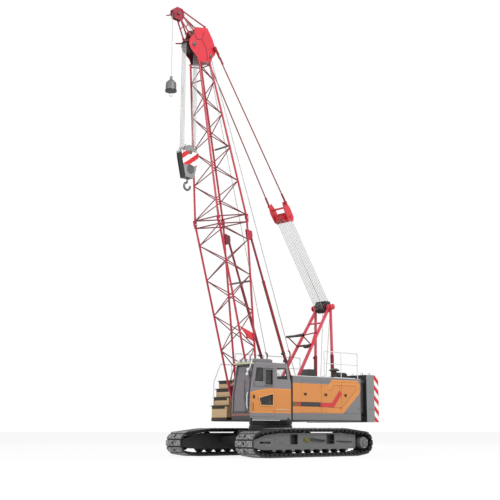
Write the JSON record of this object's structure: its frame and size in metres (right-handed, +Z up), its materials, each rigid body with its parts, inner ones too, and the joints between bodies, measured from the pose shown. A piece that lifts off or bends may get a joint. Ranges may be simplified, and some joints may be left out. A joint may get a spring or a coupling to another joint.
{
  "type": "crawler crane with pinned lattice boom",
  "caption": "Crawler crane with lattice boom, tip extension, hook block, ball hook, gantry, backstops, winches, cab with opening door, machinery houses with doors, stacked counterweight.",
  "frame": {"origin": "on the ground under the slewing axis, at the centre of the tracks' footprint", "axes": "+X to the front where the boom leans, +Y to the cab side, +Z up"},
  "size_m": [9.2591, 4.48, 15.7166],
  "materials": {
    "track_steel": "matte",
    "frame_grey": "satin",
    "chassis_black": "satin",
    "body_orange": "gloss",
    "body_grey": "satin",
    "boom_red": "gloss",
    "stop_red": "satin",
    "ballast_grey": "matte",
    "drum_grey": "satin",
    "bare_steel": "satin",
    "rope_steel": "satin",
    "block_paint": "satin",
    "ball_iron": "satin",
    "cab_glass": "gloss",
    "seat_fabric": "matte",
    "trim_plastic": "matte",
    "rail_white": "satin",
    "engine_iron": "matte"
  },
  "bodies": {
    "undercarriage": {"carbody": "chassis_black", "slew_ring": "chassis_black", "track_frame_left": "frame_grey", "track_frame_right": "frame_grey", "track_left": "track_steel", "track_right": "track_steel", "drive_sprockets": "frame_grey", "idlers": "frame_grey", "track_rollers": "track_steel"},
    "upper": {"deck_frame": "chassis_black", "house_left": "body_grey", "house_right": "body_grey", "engine": "engine_iron", "counterweight_lower": "ballast_grey", "counterweight_middle": "ballast_grey", "counterweight_upper": "ballast_grey", "step_box": "body_orange", "handrails": "rail_white", "cab_shell": "body_grey", "cab_glass": "cab_glass", "cab_seat": "seat_fabric", "cab_controls": "trim_plastic", "air_cleaner": "trim_plastic", "roof_locker": "chassis_black", "gantry_front": "boom_red", "gantry_rear": "boom_red", "gantry_head": "stop_red", "rope_guide": "stop_red"},
    "boom": {"boom_base": "boom_red", "boom_top": "boom_red", "boom_head": "boom_red", "boom_sheaves": "drum_grey", "tip_extension": "boom_red", "pendants": "stop_red", "bridle": "boom_red"},
    "main_hook_line": {"main_falls": "rope_steel", "hook_block": "block_paint", "main_hook": "bare_steel"},
    "aux_hook_line": {"aux_rope": "rope_steel", "aux_ball": "ball_iron", "aux_hook": "bare_steel"},
    "backstop_outer": {"backstop_tubes": "stop_red"},
    "backstop_inner": {"backstop_rods": "stop_red"},
    "winch_front": {"front_drum": "drum_grey"},
    "winch_main": {"main_drum": "drum_grey"},
    "winch_boom": {"boom_hoist_drum": "drum_grey"},
    "cab_door_leaf": {"cab_door": "body_orange", "cab_door_glass": "cab_glass"},
    "left_leaf_front": {"left_door_front": "body_orange"},
    "left_leaf_middle": {"left_door_middle": "body_orange"},
    "left_leaf_rear": {"left_door_rear": "body_orange"},
    "right_leaf_front": {"right_door_front": "body_orange"},
    "right_leaf_middle": {"right_door_middle": "body_orange"},
    "right_leaf_rear": {"right_door_rear": "body_orange"}
  },
  "joints": [
    {"name": "slew", "type": "hinge", "parent": "undercarriage", "child": "upper", "pos_m": [0, 0, 1.2], "axis": [0, 0, 1], "continuous": true},
    {"name": "boom_luff", "type": "hinge", "parent": "upper", "child": "boom", "pos_m": [1.219, 0, 1.694], "axis": [0, 1, 0], "range_deg": [-1, 49]},
    {"name": "main_hook_hang", "type": "hinge", "parent": "boom", "child": "main_hook_line", "pos_m": [4.03759, 0, 14.44164], "axis": [0, 1, 0], "range_deg": [-50, 2]},
    {"name": "aux_hook_hang", "type": "hinge", "parent": "boom", "child": "aux_hook_line", "pos_m": [4.65207, 0, 15.4748], "axis": [0, 1, 0], "range_deg": [-50, 2]},
    {"name": "backstop_swing", "type": "hinge", "parent": "upper", "child": "backstop_outer", "pos_m": [-0.81, 0, 1.75], "axis": [0, 1, 0], "range_deg": [-2, 42]},
    {"name": "backstop_extend", "type": "slide", "parent": "backstop_outer", "child": "backstop_inner", "axis": [0.3722, 0, 0.9282], "range_m": [-0.04, 1.34]},
    {"name": "front_winch", "type": "hinge", "parent": "upper", "child": "winch_front", "pos_m": [-0.56, 0, 2.02], "axis": [0, 1, 0], "continuous": true},
    {"name": "main_winch", "type": "hinge", "parent": "upper", "child": "winch_main", "pos_m": [-1.84, 0, 2.02], "axis": [0, 1, 0], "continuous": true},
    {"name": "boom_winch", "type": "hinge", "parent": "upper", "child": "winch_boom", "pos_m": [-2.5, 0, 2], "axis": [0, 1, 0], "continuous": true},
    {"name": "cab_door_swing", "type": "hinge", "parent": "upper", "child": "cab_door_leaf", "pos_m": [1.306, 1.593, 2], "axis": [0, 0, 1], "range_deg": [0, 100]},
    {"name": "left_front_door_swing", "type": "hinge", "parent": "upper", "child": "left_leaf_front", "pos_m": [-1.002, 1.583, 2], "axis": [0, 0, 1], "range_deg": [0, 100]},
    {"name": "left_middle_door_swing", "type": "hinge", "parent": "upper", "child": "left_leaf_middle", "pos_m": [-2.068, 1.583, 2], "axis": [0, 0, 1], "range_deg": [0, 100]},
    {"name": "left_rear_door_swing", "type": "hinge", "parent": "upper", "child": "left_leaf_rear", "pos_m": [-3.092, 1.583, 2], "axis": [0, 0, 1], "range_deg": [0, 100]},
    {"name": "right_front_door_swing", "type": "hinge", "parent": "upper", "child": "right_leaf_front", "pos_m": [-1.002, -1.583, 2], "axis": [0, 0, -1], "range_deg": [0, 100]},
    {"name": "right_middle_door_swing", "type": "hinge", "parent": "upper", "child": "right_leaf_middle", "pos_m": [-2.068, -1.583, 2], "axis": [0, 0, -1], "range_deg": [0, 100]},
    {"name": "right_rear_door_swing", "type": "hinge", "parent": "upper", "child": "right_leaf_rear", "pos_m": [-3.092, -1.583, 2], "axis": [0, 0, -1], "range_deg": [0, 100]}
  ],
  "couplings": [
    {"joint": "main_hook_hang", "follows": "boom_luff", "ratio": -1},
    {"joint": "aux_hook_hang", "follows": "boom_luff", "ratio": -1},
    {"joint": "backstop_swing", "follows": "boom_luff", "ratio": 0.81997},
    {"joint": "backstop_extend", "follows": "boom_luff", "m_per_rad": 1.5044}
  ]
}
